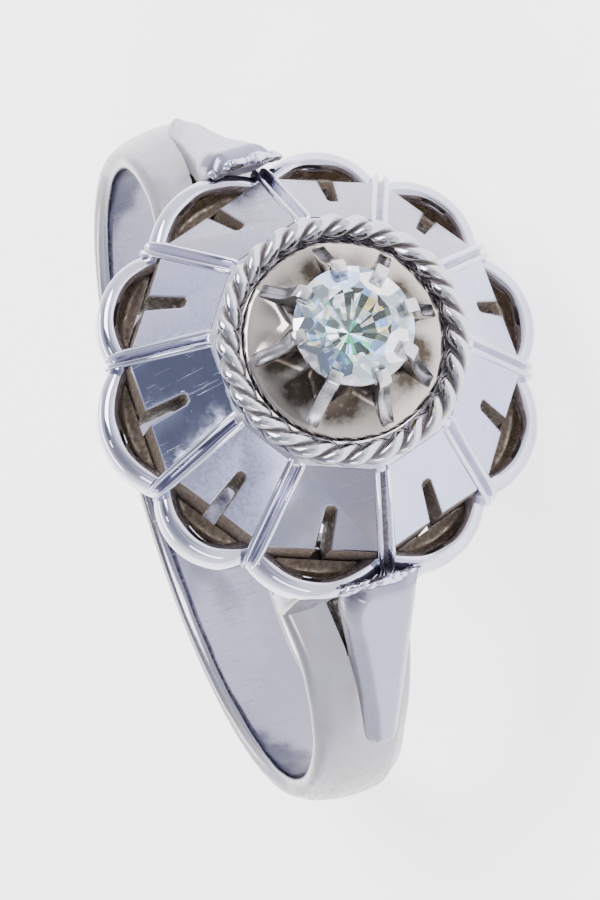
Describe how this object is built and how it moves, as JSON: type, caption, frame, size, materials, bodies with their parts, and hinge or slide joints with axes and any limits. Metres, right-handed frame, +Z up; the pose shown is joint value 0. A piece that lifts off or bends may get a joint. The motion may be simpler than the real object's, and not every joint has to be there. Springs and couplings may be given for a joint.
{
  "type": "solitaire ring",
  "caption": "Round brilliant in a fluted claw cup with a rope collar, on a pierced petal crown soldered to a slim band with split leaf shoulders.",
  "frame": {"origin": "middle of the ring's footprint on the table, at the table's surface", "axes": "+Z up from the table; +Y from the back of the band towards the stone; +X across the shoulders"},
  "size_m": [0.019, 0.0248, 0.0118],
  "materials": {
    "white_gold": "polished and brushed",
    "polished_gold": "polished",
    "stone": "cut and polished"
  },
  "bodies": {
    "root": {"mount": "white_gold", "rope_collar": "polished_gold", "claw_cup": "polished_gold", "brilliant": "stone"}
  },
  "joints": []
}
